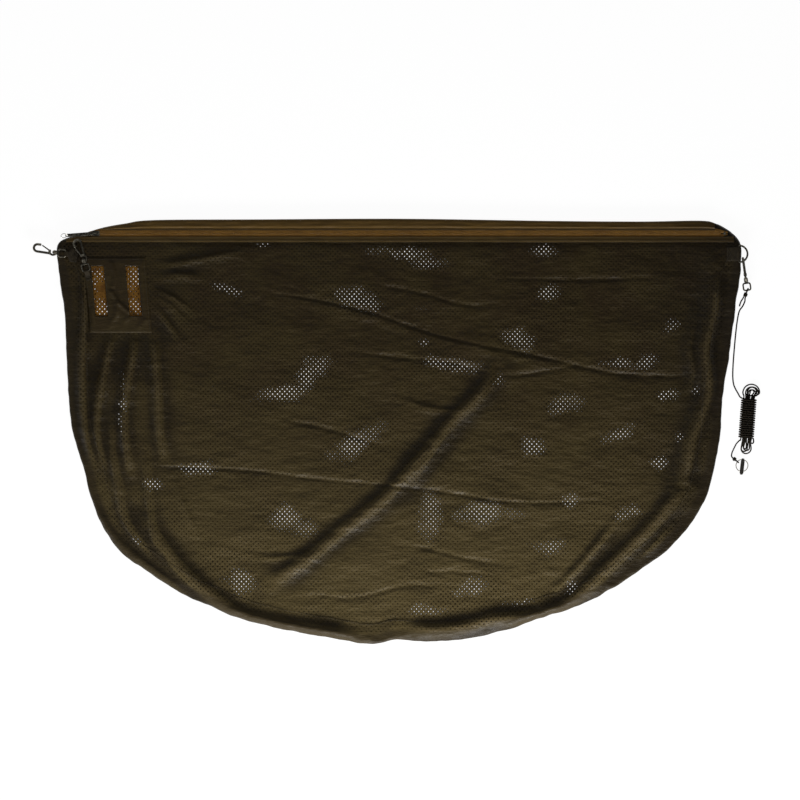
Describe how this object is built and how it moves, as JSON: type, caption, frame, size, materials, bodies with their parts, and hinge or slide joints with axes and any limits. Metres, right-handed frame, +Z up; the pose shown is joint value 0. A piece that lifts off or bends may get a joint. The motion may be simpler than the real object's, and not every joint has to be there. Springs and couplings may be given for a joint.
{
  "type": "carp sack",
  "caption": "D-shaped zipped sack of perforated nylon, lying flat, with webbing tabs, swivel snap hooks, a D-ring, a corner pocket with orange mesh and a wrapped retaining cord.",
  "frame": {"origin": "on the surface that the sack lies on, under the middle of its outline", "axes": "+X along the zip towards the D-ring, +Y across the sack towards the zip, +Z up from the surface to the front panel"},
  "size_m": [1.2622, 0.7397, 0.0205],
  "materials": {
    "olive_cloth": "matt woven nylon with small holes",
    "dark_cloth": "matt woven nylon with small holes",
    "zip_brown": "woven tape",
    "zip_coil": "nylon coil",
    "webbing": "ribbed woven webbing",
    "orange_mesh": "open mesh",
    "gunmetal": "smooth gunmetal plating",
    "dark_metal": "smooth dark plating",
    "cord_brown": "braided cord",
    "dark_rubber": "matt moulding"
  },
  "bodies": {
    "sack": {"back_panel": "dark_cloth", "front_panel": "olive_cloth", "gusset": "olive_cloth", "zip_strip_upper": "olive_cloth", "zip_strip_lower": "olive_cloth", "zip_tape_upper": "zip_brown", "zip_tape_lower": "zip_brown", "zip_coil_upper": "zip_coil", "zip_coil_lower": "zip_coil", "zip_top_stop_upper": "gunmetal", "zip_top_stop_lower": "gunmetal", "zip_bottom_stop": "gunmetal", "tab_left": "webbing", "tab_right": "webbing", "clip_loop": "webbing", "pocket": "olive_cloth", "mesh_strip_left": "orange_mesh", "mesh_strip_right": "orange_mesh", "cord_lead": "cord_brown", "knot_tail": "cord_brown", "cord_hank": "cord_brown", "cord_tail": "cord_brown", "ring_knot": "cord_brown"},
    "slider": {"zip_slider": "gunmetal"},
    "pull": {"pull_tab": "gunmetal"},
    "pull_ring": {"pull_ring": "gunmetal"},
    "left_eye": {"left_eye": "gunmetal"},
    "left_hook": {"left_hook": "gunmetal", "left_gate_pin": "dark_metal"},
    "left_gate": {"left_gate": "dark_metal"},
    "front_eye": {"front_eye": "gunmetal"},
    "front_hook": {"front_hook": "gunmetal", "front_gate_pin": "dark_metal"},
    "front_gate": {"front_gate": "dark_metal"},
    "d_ring": {"d_ring": "gunmetal"},
    "right_hook": {"right_hook": "gunmetal", "right_gate_pin": "dark_metal"},
    "right_gate": {"right_gate": "dark_metal"},
    "right_eye": {"right_eye": "gunmetal", "eye_knot": "cord_brown"},
    "end_ring": {"end_ring": "gunmetal"},
    "ring_tag": {"ring_tag": "dark_rubber"}
  },
  "joints": [
    {"name": "slider_travel", "type": "slide", "parent": "sack", "child": "slider", "axis": [1, 0, 0], "range_m": [0, 1.085]},
    {"name": "pull_swing", "type": "hinge", "parent": "slider", "child": "pull", "pos_m": [-0.5334, 0.34474, 0.01445], "axis": [-0.0785, 0.9969, 0], "range_deg": [0, 120]},
    {"name": "pull_ring_turn", "type": "hinge", "parent": "pull", "child": "pull_ring", "pos_m": [-0.57972, 0.34109, 0.01624], "axis": [0.9962, 0.0784, -0.0384], "range_deg": [0, 90]},
    {"name": "left_hook_swing", "type": "hinge", "parent": "sack", "child": "left_eye", "pos_m": [-0.582, 0.30904, 0.0115], "axis": [0.1478, 0.989, 0], "range_deg": [0, 120]},
    {"name": "left_hook_swivel", "type": "hinge", "parent": "left_eye", "child": "left_hook", "pos_m": [-0.59611, 0.31115, 0.0105], "axis": [-0.9866, 0.1474, -0.0698], "continuous": true},
    {"name": "left_gate_hinge", "type": "hinge", "parent": "left_hook", "child": "left_gate", "pos_m": [-0.6094, 0.3147, 0.00955], "axis": [-0.069, 0.0103, 0.9976], "range_deg": [0, 26], "stiffness_Nm_per_rad": 0.02, "springref_deg": -17.19},
    {"name": "front_hook_swing", "type": "hinge", "parent": "sack", "child": "front_eye", "pos_m": [-0.5455, 0.2793, 0.014], "axis": [0.9681, 0.2504, 0], "range_deg": [0, 150]},
    {"name": "front_hook_swivel", "type": "hinge", "parent": "front_eye", "child": "front_hook", "pos_m": [-0.54908, 0.29313, 0.01475], "axis": [-0.25, 0.9668, 0.0523], "range_deg": [0, 180]},
    {"name": "front_gate_hinge", "type": "hinge", "parent": "front_hook", "child": "front_gate", "pos_m": [-0.554, 0.30598, 0.01547], "axis": [-0.0131, 0.0507, -0.9986], "range_deg": [0, 26], "stiffness_Nm_per_rad": 0.02, "springref_deg": -17.19},
    {"name": "d_ring_swing", "type": "hinge", "parent": "sack", "child": "d_ring", "pos_m": [0.59, 0.30904, 0.01035], "axis": [0, -1, 0], "range_deg": [0, 80]},
    {"name": "right_hook_swing", "type": "hinge", "parent": "d_ring", "child": "right_hook", "pos_m": [0.59737, 0.29627, 0.01035], "axis": [-0.9903, -0.1392, 0], "range_deg": [0, 90]},
    {"name": "right_gate_hinge", "type": "hinge", "parent": "right_hook", "child": "right_gate", "pos_m": [0.60057, 0.27353, 0.00884], "axis": [0.9903, 0.1392, 0], "range_deg": [0, 26], "stiffness_Nm_per_rad": 0.02, "springref_deg": -17.19},
    {"name": "right_eye_swivel", "type": "hinge", "parent": "right_hook", "child": "right_eye", "pos_m": [0.60249, 0.25988, 0.00847], "axis": [-0.1378, 0.9806, 0.1392], "continuous": true},
    {"name": "end_ring_swing", "type": "hinge", "parent": "sack", "child": "end_ring", "pos_m": [0.58706, -0.05245, 0.0039], "axis": [-0.6428, -0.766, 0], "range_deg": [0, 100]},
    {"name": "ring_tag_swing", "type": "hinge", "parent": "end_ring", "child": "ring_tag", "pos_m": [0.5967, -0.04879, 0.00315], "axis": [-0.9855, 0.116, 0.1238], "range_deg": [0, 90]}
  ]
}
